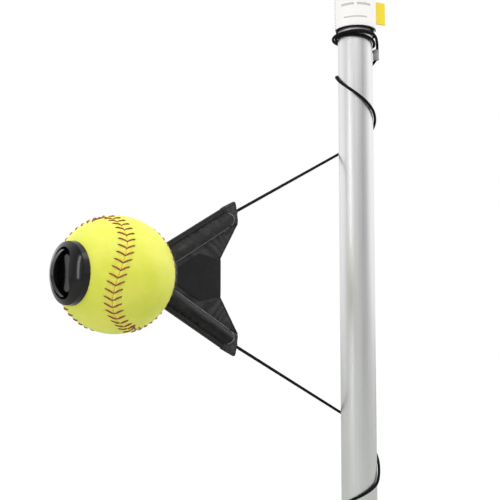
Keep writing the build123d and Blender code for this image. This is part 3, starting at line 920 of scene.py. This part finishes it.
def spaced(outline, spacing):
    """The outline's points with more on each side, about evenly spaced."""
    points = []
    for (x0, y0), (x1, y1) in zip(outline, outline[1:] + outline[:1]):
        count = max(1, round(sqrt((x1 - x0) ** 2 + (y1 - y0) ** 2) / spacing))
        for k in range(count):
            points.append((x0 + (x1 - x0) * k / count, y0 + (y1 - y0) * k / count))
    return points


def wear(piece, measure):
    """Store a cloth's painted highlight, partly wear, and its painted shade; measure gives both at a
    wing-plane x, y.
    """
    pairs = []
    for vertex in piece.data.vertices:
        place = vertex.co / mm - ball_centre
        pairs.append(measure(place.x, place.z))
    for name, values in zip(("rubbed_and_lit", "painted_shade"), zip(*pairs)):
        paint(piece.data, name, [clamp(value) for value in values])


def in_arm(x, y):
    """Distances along the arm and in from its outer edge, for a wing-plane point on either arm."""
    right = x - arm_root[0]
    up = abs(y) - arm_root[1]
    return right * arm_cos + up * arm_sin, right * arm_sin - up * arm_cos


def edge_distance(x, y, outline):
    """Distance inside a polygon from a point to its edge, negative outside."""
    nearest = 1e9
    inside = False
    for (x0, y0), (x1, y1) in zip(outline, outline[1:] + outline[:1]):
        run = Vector((x1 - x0, y1 - y0))
        share = clamp(Vector((x - x0, y - y0)).dot(run) / run.length_squared)
        nearest = min(nearest, sqrt((x - x0 - run.x * share) ** 2 + (y - y0 - run.y * share) ** 2))
        if (y0 > y) != (y1 > y) and x < x0 + (y - y0) / (y1 - y0) * (x1 - x0):
            inside = not inside
    return nearest if inside else -nearest


def rounded(outline, radius):
    """The outline with each corner cut by a short arc."""
    points = []
    count = len(outline)
    for i, corner in enumerate(outline):
        here = Vector(corner)
        back = Vector(outline[i - 1]) - here
        ahead = Vector(outline[(i + 1) % count]) - here
        reach = min(radius, back.length / 2.2, ahead.length / 2.2)
        first = here + back.normalized() * reach
        last = here + ahead.normalized() * reach
        for step in range(4):
            share = step / 3
            points.append(tuple(first.lerp(here, share).lerp(here.lerp(last, share), share)))
    return points


def cloth_plate(outline, spacing, middle, half, edge_round):
    """Points and faces of a thin piece; middle(x, y) and half(x, y) are its depth and half thickness."""
    border = spaced(outline, spacing)
    inset = []
    total = len(border)
    for ring_share in (0.35, 1.0):
        for i, (x, y) in enumerate(border):
            x0, y0 = border[i - 1]
            x1, y1 = border[(i + 1) % total]
            normal = Vector((y0 - y1, x1 - x0)).normalized()
            if edge_distance(x + normal.x * 0.05, y + normal.y * 0.05, outline) < 0:
                normal = -normal
            spot = (x + normal.x * edge_round * ring_share, y + normal.y * edge_round * ring_share)
            if edge_distance(*spot, outline) > edge_round * ring_share * 0.8:
                inset.append(spot)
    across_line, up_line = zip(*border)
    inner = []
    row = 0
    y = min(up_line)
    while y < max(up_line):
        x = min(across_line) + (row % 2) * spacing / 2
        while x < max(across_line):
            if edge_distance(x, y, outline) > edge_round + spacing * 0.45:
                inner.append((x, y))
            x += spacing
        y += spacing * 0.87
        row += 1
    flat = [Vector(p) for p in border + inset + inner]
    edges = [(i, (i + 1) % total) for i in range(total)]
    spots, _, triangles, _, _, _ = delaunay_2d_cdt(flat, edges, [], 1, 1e-5)
    front = []
    back = []
    for spot in spots:
        gap = max(0.0, edge_distance(spot.x, spot.y, outline))
        share = min(1.0, gap / edge_round) if gap > 0.01 else 0.0
        thick = half(spot.x, spot.y) * sqrt(max(0.0, 1 - (1 - share) ** 2))
        centre = middle(spot.x, spot.y)
        front.append(wing_place(spot.x, spot.y, centre + thick))
        back.append(wing_place(spot.x, spot.y, centre - thick))
    shift = len(front)
    faces = [tuple(t) for t in triangles] + [tuple(k + shift for k in reversed(t)) for t in triangles]
    return front + back, faces


def arm_out(side):
    """The arm's direction in the row frame."""
    return Vector((arm_cos, 0, side * arm_sin))


panel_depth = 1.05
panel_half = 0.45
root_point = arm_point(-10.4, panel_edge)
tip_inner = arm_point(tip_start - 0.1, panel_edge + 0.5)
panel_corner = (140.0, 51.9)
half_outline = [(root_clear, root_point[1]), root_point, tip_inner, panel_corner, notch]
panel_outline = half_outline + [(x, -y) for x, y in reversed(half_outline)]
patch_half = [(60.6, 5.9), (90.5, 21.5), (117.2, 17.0)]
patch_outline = patch_half + [(x, -y) for x, y in reversed(patch_half)]


def panel_puff(x, y):
    """How far the panels stand off each other: gathered towards the arms, flat under the patch."""
    free = clamp(edge_distance(x, y, panel_outline) / 6.0)
    patch = clamp(-edge_distance(x, y, patch_outline) / 5.0)
    return free * (0.35 + patch * (0.55 + 0.9 * ripple(x, y, 9.0, 3.1)) + 0.15 * ripple(x, y, 22.0, 8.0))


def panel_fold_light_shade(x, y):
    """Panels: painted highlight on the crests and painted shade in the troughs of pulled folds that fan out
    of each gusset's corner.
    """
    fan = sin(16 * abs(y) / max(8.0, panel_corner[0] - x) + 3 * ripple(x, y, 14.0, 6.0))
    hidden = edge_distance(x, y, patch_outline) > 1.0
    # Crests get painted highlight, troughs get painted shade.
    return (0.0, 0.0) if hidden else (0.22 * max(0.0, fan) + 0.06, 0.55 * max(0.0, -fan))


def add_panels():
    """Front and back panels."""
    for name, facing in (("front", 1), ("back", -1)):
        def middle(x, y, facing=facing):
            return facing * (panel_depth + panel_puff(x, y))

        shape = cloth_plate(panel_outline, 2.2, middle, lambda x, y: panel_half, 0.5)
        panel = add_piece(f"{name}_cloth_panel", shape, mesh_cloth, "wing", "panel", f"{name}_panel")
        wear(panel, panel_fold_light_shade)


def add_patch():
    """The plain centre patch, on the front panel."""
    def middle(x, y):
        return panel_depth + panel_puff(x, y) + panel_half + 0.35

    shape = cloth_plate(rounded(patch_outline, 2.0), 2.2, middle, lambda x, y: 0.32, 0.4)
    add_piece("centre_cloth_patch", shape, patch_cloth, "wing", "patch", "centre_patch")


def sleeve_half(v):
    """Half depth of the sleeve at v, -1 at the hem to 1 at the panels: a tube, flat at its seams."""
    return 1.3 + 5.5 * max(0.0, cos(pi * v / 2)) ** 0.72


def sleeve_ring(along, side, swell, bow):
    """One ring of the sleeve's section, wrinkled; bow pushes its middle on towards the tip."""
    ring = []
    half_round = sleeve_around // 2
    for k in range(sleeve_around):
        front = k < half_round
        share = (k % half_round) / half_round
        v = (share * 2 - 1) if front else (1 - share * 2)
        v = sin(v * pi / 2)
        across = sleeve_across + v * sleeve_d / 2
        here = along + bow * (1 - v * v)
        x, y = arm_point(here, across, side)
        for _ in range(6):
            depth = sleeve_half(v) * swell
            gap = sqrt(x * x + y * y + depth * depth)
            if gap >= root_clear:
                break
            here += root_clear - gap + 0.05
            x, y = arm_point(here, across, side)
        fold = 0.55 * ripple(here, across * 2.2, 9.0, 5.0 + side)
        fold += 0.3 * ripple(here, across, 3.5, 1.0 + side)
        depth = sleeve_half(v) * swell + fold * cos(v * pi / 2)
        ring.append(wing_place(x, y, depth if front else -depth))
    return ring


def puckers(along, y, size, lift):
    """Gathers of the cloth along a sewn edge, 0 between them; they are drawn only as painted shade."""
    return max(0.0, size * ripple(along, 1.0, 2.6, 6.0 + (y > 0)) + lift)


def sleeve_light_and_shade(x, y):
    """Sleeves: painted highlight on folds, partly wear, and painted shade in puckers by the hem; the lower
    has a painted highlight on its upward crown and painted shade in the hollow below.
    """
    along, across = in_arm(x, y)
    pucker = bell(across - 6.0, 0.9) * puckers(along, y, 1.8, 0.15)
    fold = 0.28 * max(0.0, ripple(along, across * 2.0, 8.0, 7.0))
    fold += 0.10 * ripple(along * 0.4, across * 3, 2.2, 2.0)
    if y > 0:
        return fold + 0.10, pucker + 0.25 * max(0.0, ripple(along, across, 6.0, 11.0))
    # The lower sleeve's upward crown gets painted highlight, the hollow under it painted shade.
    crown_highlight = 0.30 * bell(across - 16.3 + 0.02 * along, 1.9)
    hollow_shade = 0.75 * bell(across - 10.2, 2.4) * clamp(along / 30, 0.3)
    return 0.6 * fold + crown_highlight + 0.06, pucker + hollow_shade


sleeve_start = -14.0
sleeve_end = 78.7  # the sleeve's mouth lies on the tip patch
mouth_bow = 3.3
mouth_swell = 0.86
sleeve_around = 40


def add_sleeves():
    """The two arm sleeves, each a soft tube with a rolled rim at its mouth, the rim in a light grey painted
    highlight.
    """
    for name, side, _ in strap_edges:
        rings = []
        steps = 48
        for k in range(steps + 1):
            share = k / steps
            along = sleeve_start + (sleeve_end - sleeve_start) * share
            swell = 1 - (1 - mouth_swell) * max(0.0, share * 12 - 11)
            rings.append(sleeve_ring(along, side, swell, mouth_bow * share**8))
        rim = [p.copy() for p in rings[-1]]
        middle = sum(rim, Vector()) / len(rim)
        for inward, back in ((0.9, 0.2), (0.8, 1.2), (0.4, 2.0)):
            rings.append([middle + (p - middle) * inward - arm_out(side) * back for p in rim])
        tube = add_piece(f"{name}_sleeve_tube", skin(rings), sleeve_cloth, "wing", "panel", f"{name}_sleeve")
        wear(tube, sleeve_light_and_shade)
        shape = skin(round_section(rim, 0.5, True), closed=True)
        add_piece(f"{name}_sleeve_rim", shape, piping_highlight_cloth, "wing", "panel")


def round_section(path, radius, loop=False):
    """Rings of a round bead along a path, which may close on itself."""
    rings = []
    for k, middle in enumerate(path):
        ahead = path_heading(path, k, loop)
        side = ahead.cross(Vector((0, 1, 0.02))).normalized()
        up = side.cross(ahead)
        rings.append([middle + (side * cos(turn) + up * sin(turn)) * radius for turn in circle_steps(8)])
    return rings


def arm_line(across, depth_at, side, start, end):
    """A line along an arm, a point about every 1.5 mm; depth_at gives its depth."""
    count = round((end - start) / 1.5)
    steps = [start + (end - start) * k / count for k in range(count + 1)]
    return [wing_place(*arm_point(along, across, side), depth_at(along)) for along in steps]


def add_piping():
    """The folded ridge where each sleeve meets the panels, front and back, in a light grey painted highlight.
    """
    for name, side, _ in strap_edges:
        parts = []
        for facing in (1, -1):
            def depth_at(along, facing=facing):
                return facing * (1.75 + 0.25 * ripple(along, 0, 6.0, 4.0))

            line = arm_line(panel_edge - 0.2, depth_at, side, -8.0, tip_start)
            parts.append(skin(round_section(line, 0.55)))
        add_piece(f"{name}_fold_ridge", gather(parts), piping_highlight_cloth, "wing", "panel")


def outward(place):
    """The cloth's outward direction on the wing's front or back."""
    return Vector((0, -1 if place.y < ball_centre.y else 1, 0))


def add_wing_stitching():
    """Sewing on hems, patch and tips, front and back."""
    parts = []
    for _, side, _ in strap_edges:
        for facing in (1, -1):
            hem_depth = facing * (hem_thickness / 2 + 0.08)
            sewn = arm_line(4.4, lambda along: hem_depth, side, -3.0, tip_start - 1)
            parts.append(stitch_row(sewn, 3.1, 2.3, outward, 0.8, 0.6))
            tip_line = [arm_point(tip_start + 1.6, 0.8, side)] + [(x, side * y) for x, y in tip_sewing]
            place = [wing_place(x, y, facing * (tip_thickness / 2 - 1.15)) for x, y in tip_line]
            parts.append(stitch_row(place, 2.6, 1.8, outward, 0.7, 0.7))
    shape = [Vector(p) for p in patch_outline]
    centre = sum(shape, Vector((0, 0))) / len(shape)
    inner = [tuple(centre + (p - centre) * 0.955) for p in shape]
    border = spaced(inner, 2.0)
    lift = panel_half + 0.72
    loop = [wing_place(x, y, panel_depth + panel_puff(x, y) + lift) for x, y in border + border[:1]]
    parts.append(stitch_row(loop, 2.4, 1.6, outward, 0.4, 0.3))
    add_piece("wing_stitching", gather(parts), black_thread, "wing", "panel")


def add_binding():
    """A folded tape along the panels' free edge."""
    rings = []
    edge = [(x, -y) for x, y in (panel_corner, notch)] + [notch, panel_corner]
    line = spaced(edge, 2.0)
    line = line[:line.index(panel_corner) + 1]
    for k, (x, y) in enumerate(line):
        ahead = path_heading(line, k)
        inward = Vector((-ahead.y, ahead.x))
        ring = []
        for turn in circle_steps(14):
            reach = 1.0 - 1.15 * cos(turn)
            depth = 2.15 * signed_power(sin(turn), 0.6) * (1 + 0.12 * ripple(x, y, 3.0, 2.0))
            ring.append(wing_place(x + inward.x * reach, y + inward.y * reach, depth))
        rings.append(ring)
    add_piece("edge_binding", skin(rings), hem_cloth, "wing", "panel")


def add_webbing():
    """The woven strap between the panels, which the saddle's pin holds."""
    half_web = [(root_clear, 6.0), (62.0, 6.0), (110.0, 20.0)]
    outline = half_web + [(x, -y) for x, y in reversed(half_web)]
    shape = cloth_plate(outline, 2.4, lambda x, y: 0.0, lambda x, y: 0.48, 0.4)
    add_piece("anchor_strap", shape, webbing_cloth, "wing", "webbing", "anchor_webbing")


def hem_light_and_shade(x, y):
    """Hems: a painted highlight on the outer lip, then a line of painted shade, and painted shade in puckers
    where they are sewn.
    """
    along, across = in_arm(x, y)
    # Painted highlight on the rounded lip; painted shade along a line and in the puckers.
    lip = 0.32 * bell(across, 0.8) + 0.22 * bell(across - 3.0, 0.8)
    line = 0.55 * bell(across - 1.7, 0.4)
    pucker = bell(across - 5.0, 0.8) * puckers(along, y, 2.2, 0.3)
    return lip * (0.7 + 0.6 * ripple(along, across, 3.0, 1.0)), line + pucker


def add_hems():
    """The arms' outer hems: a folded edge with a raised fold line."""
    hem_start = -7.0
    slant_start = -4.0  # before this the hem's outer edge slants in to the ball
    count = 60
    for name, side, _ in strap_edges:
        rings = []
        for k in range(count + 1):
            along = hem_start + (tip_start - 0.1 - hem_start) * k / count
            ring = []
            for turn in circle_steps(16):
                flat = 0.5 - 0.5 * cos(turn)
                across = max(0.0, slant_start - along) * 1.6 + flat * (hem_width - 0.1)
                pucker = 0.22 * ripple(along, across * 2, 3.0, 9.0 + side)
                bulge = hem_thickness / 2 * signed_power(sin(turn), 0.45)
                ring.append(wing_place(*arm_point(along, across, side), bulge * (1 + pucker)))
            rings.append(ring)
        hem = add_piece(f"{name}_hem_fold", skin(rings), hem_cloth, "wing", "panel", f"{name}_hem")
        wear(hem, hem_light_and_shade)


def tip_outline(side):
    """The tip patch's outline, with its corners eased."""
    corners = [arm_point(tip_start, -0.8, side)]
    corners += [(x, side * y) for x, y in tip_corners]
    corners += [arm_point(tip_start, panel_edge + 0.4, side)]
    return rounded(corners, 2.6)


def tip_tone_and_shade(x, y):
    """Tips: lighter all over in patches, with painted shade in folds near the sleeve's mouth and along a slit
    line.
    """
    along, across = in_arm(x, y)
    fold = max(0.0, ripple(along * 0.8, across * 1.6, 3.4, 4.0))
    slit = 0.9 * bell(across - 16.5, 0.5) if along > tip_start + 4 else 0.0
    return 0.22 + 0.35 * max(0.0, ripple(along, across, 4.5, 13.0)), 0.6 * fold + slit


def add_tips():
    """The two tip patches: thick folded cloth over the stopper knot."""
    for name, side, _ in strap_edges:
        outline = tip_outline(side)

        def half(x, y, outline=outline, side=side):
            inside = clamp(edge_distance(x, y, outline) / 5.0)
            return (tip_thickness / 2 - 1.0) * (0.62 + 0.38 * inside) + 0.45 * ripple(x, y, 5.0, side)

        shape = cloth_plate(outline, 1.3, lambda x, y: 0.0, half, 1.8)
        tip = add_piece(f"{name}_tip_cloth", shape, hem_cloth, "wing", "panel", f"{name}_tip_patch")
        wear(tip, tip_tone_and_shade)


add_panels()
add_patch()
add_sleeves()
add_hems()
add_tips()
add_piping()
add_wing_stitching()
add_binding()
add_webbing()


# ---- Straps: band, tail, blank label and pull tab ----
strap_width = 38.0
band_in = pole_r + 0.3
band_out = band_in + 1.8
tail_in = band_out + 0.3
tail_out = tail_in + 1.5
label_in = tail_out + 0.1
label_thickness = 0.4
tail_from = 145
tail_to = 308
label_from = 150
label_to = 302
label_margin = 0.9
# Grey bars in place of print: share of the label's height, bar height, first and last degree.
label_bars = ((0.62, 2.6, 178, 214), (0.62, 2.6, 222, 262), (0.24, 1.6, 186, 250))
tab_from = 9.5
tab_width = 24.5
tab_length = 13.2
tab_heading = radians(338)
degrees_apart = 4  # between a wrapped strap's sections


def strap_ring(angle, inner, outer, low, high, rib):
    """One section of a strap wrapped round the pole: eased edges, a raised selvedge, shallow ribs."""
    rows = 28
    thick = outer - inner
    lines = []
    for outside in (True, False):
        line = []
        for k in range(rows + 1):
            level = low + (high - low) * (0.5 - 0.5 * cos(pi * k / rows))
            edge = min(level - low, high - level)
            ease = 0.3 * thick * exp(-edge / 0.5)
            selvedge = rib * bell(edge - 1.3, 0.6)
            wave = rib * 0.5 * noise.noise(Vector((angle / 9, level / 5, low)))
            radius = outer - rib - ease + selvedge + wave if outside else inner + ease
            line.append(round_pole(angle, level, radius))
        lines.append(line)
    return lines[0] + lines[1][::-1]


def wrapped(inner, outer, start, end, low, high, rib=0.12):
    """Points and faces of a strap wrapped from one angle to another, or right round."""
    whole = end - start >= 360
    count = round((end - start) / degrees_apart)
    rings = [strap_ring(start + (end - start) * k / count, inner, outer, low, high, rib)
             for k in range(count if whole else count + 1)]
    return skin(rings, closed=whole)


def radial_out(place):
    """Outward from the pole."""
    return Vector((place.x, place.y, 0)).normalized()


def strap_line(radius, start, end, low, high):
    """A line on a strap, from one angle and level to another."""
    count = max(2, round((end - start) / degrees_apart))
    shares = [k / count for k in range(count + 1)]
    return [round_pole(start + (end - start) * share, low + (high - low) * share, radius) for share in shares]


def add_pull_tab(name, body, low):
    """A ribbon folded double and sewn into the tail's end."""
    root = round_pole(tail_to, 0, (tail_in + tail_out) / 2)
    ahead = Vector((cos(tab_heading), sin(tab_heading), 0))
    side = Vector((-ahead.y, ahead.x, 0))
    fold_start = tab_length - 0.8
    fold_r = 0.5
    path = [(x, -fold_r) for x in (0.4, 4.0, 8.0, fold_start)]
    for step in range(1, 6):
        turn = -pi / 2 + pi * step / 6
        path.append((fold_start + fold_r * cos(turn), fold_r * sin(turn)))
    path += [(x, -y) for x, y in path[3::-1]]
    rings = []
    for k, (x, y) in enumerate(path):
        run = path_heading(path, k)
        normal = ahead * -run.y + side * run.x
        ring = []
        for face_side in (1, -1):
            for row in range(13)[::face_side]:
                level = low + tab_width * row / 12
                wave = 0.12 * noise.noise(Vector((x / 4, level / 6, low)))
                middle = root + ahead * x + side * (y + wave)
                ring.append(middle + normal * (0.24 * face_side) + Vector((0, 0, level)))
        rings.append(ring)
    add_piece(f"{name}_ribbon_tab", skin(rings), tab_cloth, body, "tab", f"{name}_pull_tab")


def add_straps():
    """Each strap's band, peelable tail, label and tab."""
    for name, side, strap_edge in strap_edges:
        near = ball_height + side * strap_edge
        low = min(near, near + side * strap_width)
        high = low + strap_width
        body = f"{name}_strap"
        tail_body = f"{name}_tail"
        shape = wrapped(band_in, band_out, 0, 360, low, high)
        add_piece(f"{name}_woven_band", shape, strap_cloth, body, "strap", f"{name}_strap")

        shape = wrapped(tail_in, tail_out, tail_from, tail_to, low, high)
        tail = add_piece(f"{name}_woven_tail", shape, strap_cloth, tail_body, "strap", f"{name}_strap_tail")

        label_low = low + label_margin
        label_high = high - label_margin
        label_out = label_in + label_thickness
        shape = wrapped(label_in, label_out, label_from, label_to, label_low, label_high, 0.03)
        label = add_piece(f"{name}_blank_label", shape, label_cloth, tail_body, "label", f"{name}_label")

        bars = []
        for level_share, bar_height, start, end in label_bars:
            bar_low = label_low + (label_high - label_low) * level_share
            bar_high = bar_low + bar_height
            bars.append(wrapped(label_out - 0.1, label_out + 0.07, start, end, bar_low, bar_high, 0.01))
        add_piece(f"{name}_label_bars", gather(bars), label_ink, tail_body, "label")

        sewn = []
        for level in (label_low + 1.0, label_high - 1.0):
            line = strap_line(label_out + 0.02, label_from + 2, label_to - 2, level, level)
            sewn.append(stitch_row(line, 2.6, 1.9, radial_out, 0.4, 0.3))
        add_piece(f"{name}_label_sewing", gather(sewn), label_cloth, tail_body, "label")

        sewn = []
        for angle in (146.5, 148.5, 303.5, 306.0):
            line = strap_line(tail_out + 0.02, angle, angle, low + 2, high - 2)
            sewn.append(stitch_row(line, 2.8, 2.0, radial_out, 0.5, 0.4))
        add_piece(f"{name}_tail_sewing", gather(sewn), black_thread, tail_body, "strap")
        add_pull_tab(name, tail_body, min(near + side * tab_from, near + side * (tab_from + tab_width)))


add_straps()
